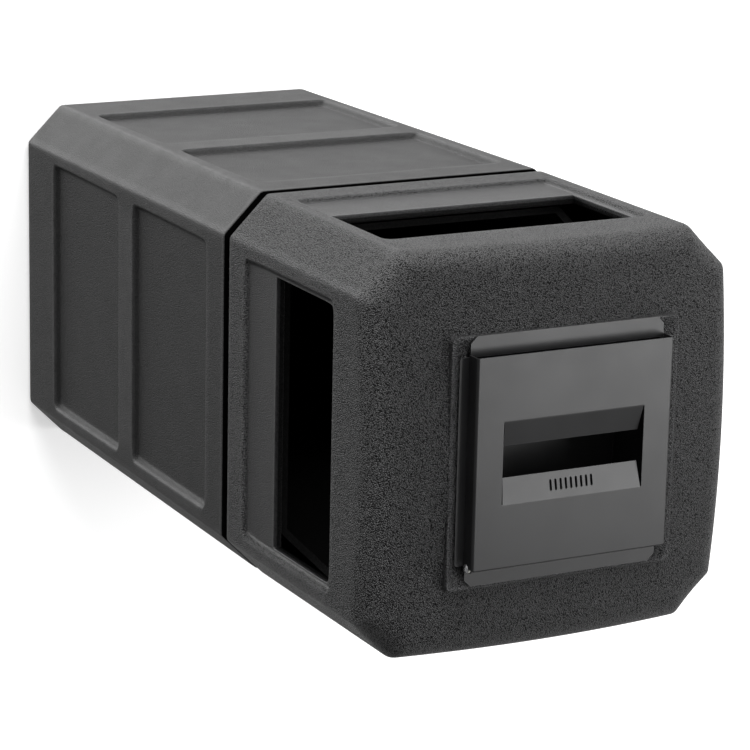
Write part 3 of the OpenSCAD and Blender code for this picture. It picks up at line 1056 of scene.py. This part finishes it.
# %% Small steel and nylon
def bare_steel(name, tone, grain, rough):
    """Bare metal; grain is the size of its spangle or turning marks in mm."""
    mat, tree, shader, place = new_material(name)
    cells = tree.nodes.new("ShaderNodeTexVoronoi")
    cells.inputs["Scale"].default_value = 1 / (grain * MM)
    tree.links.new(place, cells.inputs["Vector"])
    value = tree.nodes.new("ShaderNodeSeparateColor")
    tree.links.new(cells.outputs["Color"], value.inputs["Color"])
    dull = tuple(0.75 * t for t in tone)
    tree.links.new(blend(tree, value.outputs["Red"], dull, tone), shader.inputs["Base Color"])
    uneven = spread(tree, value.outputs["Green"], rough - 0.08, rough + 0.1, 0, 1)
    tree.links.new(uneven, shader.inputs["Roughness"])
    bump(tree, shader, noise(tree, place, 2500, 3), 0.02)
    shader.inputs["Metallic"].default_value = 1
    return mat


def nylon(name, dark, light):
    mat, tree, shader, place = new_material(name)
    colour = blend(tree, spread(tree, noise(tree, place, 200, 3), 0, 1), dark, light)
    tree.links.new(colour, shader.inputs["Base Color"])
    tree.links.new(spread(tree, noise(tree, place, 600, 3), 0.4, 0.55), shader.inputs["Roughness"])
    bump(tree, shader, noise(tree, place, 1500, 3), 0.02, 0.6)
    return mat


bright = bare_steel("bright_steel", (0.80, 0.80, 0.81), 1.2, 0.22)
blackened = bare_steel("blackened_steel", (0.035, 0.035, 0.038), 1.5, 0.42)
washer_nylon = nylon("washer_nylon", (0.45, 0.45, 0.41), (0.60, 0.60, 0.56))
print("materials", sorted(m.name for m in bpy.data.materials))

# %% [markdown]
# The pieces whose shape is right in the CAD keep it. They only get their edges broken and their
# finish. A small bevel catches the light along each edge, which is what tells the eye that a box
# is folded sheet and not a drawing of one.

# %% CAD pieces
PLAIN_PIECES = (
    ("ash_housing", coat, 0.3), ("ash_bucket", coat, 0.4), ("liner", liner_plastic, 1.5),
    ("hinge_rivet_front", bright, 0.15), ("hinge_rivet_back", bright, 0.15),
    ("hinge_washer_front", washer_nylon, 0.1), ("hinge_washer_back", washer_nylon, 0.1),
    ("housing_screws", blackened, 0.2), ("housing_washers", blackened, 0.1),
    ("housing_nuts", blackened, 0.2),
)
for node, mat, width in PLAIN_PIECES:
    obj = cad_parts[node]
    obj.data.materials.clear()
    obj.data.materials.append(mat)
    break_edges(obj, width)
print("CAD pieces kept", len(PLAIN_PIECES))

# %% [markdown]
# ## Floor, light and camera
#
# The floor is pale, matt paint. Black plastic mirrors whatever is round it, and a bright floor in it
# would turn the upright walls grey, so reflections don't see this floor. A little light of its own
# keeps it an even white under the bin, with a soft shadow only at the foot.

# %% Floor
bm = bmesh.new()
bmesh.ops.create_grid(bm, x_segments=8, y_segments=8, size=12)
mesh = bpy.data.meshes.new("studio_floor")
bm.to_mesh(mesh)
bm.free()
floor = bpy.data.objects.new("studio_floor", mesh)
floor.location.z = cad_box[0].z - 0.0005
bpy.context.scene.collection.objects.link(floor)
floor.visible_glossy = False
mat, tree, shader, place = new_material("floor_paint")
paint = blend(tree, noise(tree, place, 3, 2), (0.86, 0.86, 0.86), (0.88, 0.88, 0.88))
tree.links.new(paint, shader.inputs["Base Color"])
shader.inputs["Roughness"].default_value = 0.9
shader.inputs["Emission Color"].default_value = (1, 1, 1, 1)
shader.inputs["Emission Strength"].default_value = 0.45
floor.data.materials.append(mat)
print("floor", tuple(round(d, 1) for d in floor.dimensions), "m")

# %% [markdown]
# The surround is what a studio's walls do: a soft glow that is stronger on one side than on the
# other, so that each face of the bin mirrors another grey and its shape can be read. Two smooth
# ramps over the direction give it. One is mild, darkest at the front right and lightest at the back
# left. The other is a bright glow low down on the left: seen from above, the bin's upright faces
# mirror what lies low.

# %% Surround
scene = bpy.context.scene
world = bpy.data.worlds.new("studio")
scene.world = world
world.use_nodes = True
sky = world.node_tree
way = sky.nodes.new("ShaderNodeTexCoord").outputs["Generated"]


def facing(direction, low, high, from_low, from_high):
    """How bright the surround is in a direction, as a soft ramp."""
    dot = sky.nodes.new("ShaderNodeVectorMath")
    dot.operation = "DOT_PRODUCT"
    dot.inputs[1].default_value = direction
    sky.links.new(way, dot.inputs[0])
    ramp = spread(sky, dot.outputs["Value"], low, high, from_low, from_high)
    ramp.node.interpolation_type = "SMOOTHSTEP"
    return ramp


even = facing((-0.64, 0.77, 0), 0.2, 0.8, -0.7, 0.6)
downward = facing((0, 0, -1), 0, 1, 0.2, 0.6)
glow = times(sky, facing((-0.87, -0.5, 0), 0, 3.6, 0.05, 0.65), downward)
sky.links.new(plus(sky, even, glow), sky.nodes["Background"].inputs["Strength"])
sky.nodes["Background"].inputs["Color"].default_value = (1, 1, 1, 1)
print("surround nodes", len(sky.nodes))

# %% [markdown]
# Two large soft lights shape the bin: the key from the left, low enough to rake over the grain of the
# hood, and one high up behind, which lays an even sheen on the lid. Both are kept out of the
# camera's sight, as they would be out of the frame in a studio.

# %% Lights
target = Vector((0, 0, 0.6))


def softbox(name, place, size, power):
    light = bpy.data.lights.new(name, "AREA")
    light.shape = "RECTANGLE"
    light.size, light.size_y = size
    light.energy = power
    obj = bpy.data.objects.new(name, light)
    obj.location = place
    obj.rotation_mode = "QUATERNION"
    obj.rotation_quaternion = (target - Vector(place)).to_track_quat("-Z", "Y")
    obj.visible_camera = False
    scene.collection.objects.link(obj)
    print(name, power, "W at", round((target - obj.location).length, 2), "m")


softbox("key", (-3.0, -0.6, 2.6), (2.2, 2.0), 112)
softbox("top", (0.0, 2.15, 3.75), (2.0, 2.0), 78)

# %% [markdown]
# The camera looks down on the bin from the front left corner through a long lens, which keeps the far end
# nearly as wide as the near one. It is rolled, so that the upright bin lies across the picture with its
# hood towards the viewer. Its place is worked out from angles round a point on the bin, which are easier
# to adjust than three coordinates.

# %% Camera
LOOK_AT = Vector((0.0403, 0.0289, 0.541))
AZIMUTH, ELEVATION, ROLL = -29.92, 58.78, 117.46
DISTANCE = 4.044
LENS = 153.6
a, e = math.radians(AZIMUTH), math.radians(ELEVATION)
back = Vector((math.sin(a) * math.cos(e), -math.cos(a) * math.cos(e), math.sin(e)))
camera_data = bpy.data.cameras.new("camera")
camera_data.lens = LENS
camera_data.sensor_width = 36
camera_data.clip_end = 100
camera = bpy.data.objects.new("camera", camera_data)
camera.location = LOOK_AT + back * DISTANCE
camera.rotation_mode = "QUATERNION"
rolled = Quaternion((0, 0, 1), math.radians(ROLL))
camera.rotation_quaternion = (-back).to_track_quat("-Z", "Y") @ rolled
scene.collection.objects.link(camera)
scene.camera = camera
scene.view_settings.view_transform = "Standard"
print("camera at", tuple(round(c, 3) for c in camera.location))

# %% [markdown]
# Last, the box of the CAD is printed.

# %% Print the box of the CAD
print("cad", [tuple(round(c, 4) for c in v) for v in cad_box])
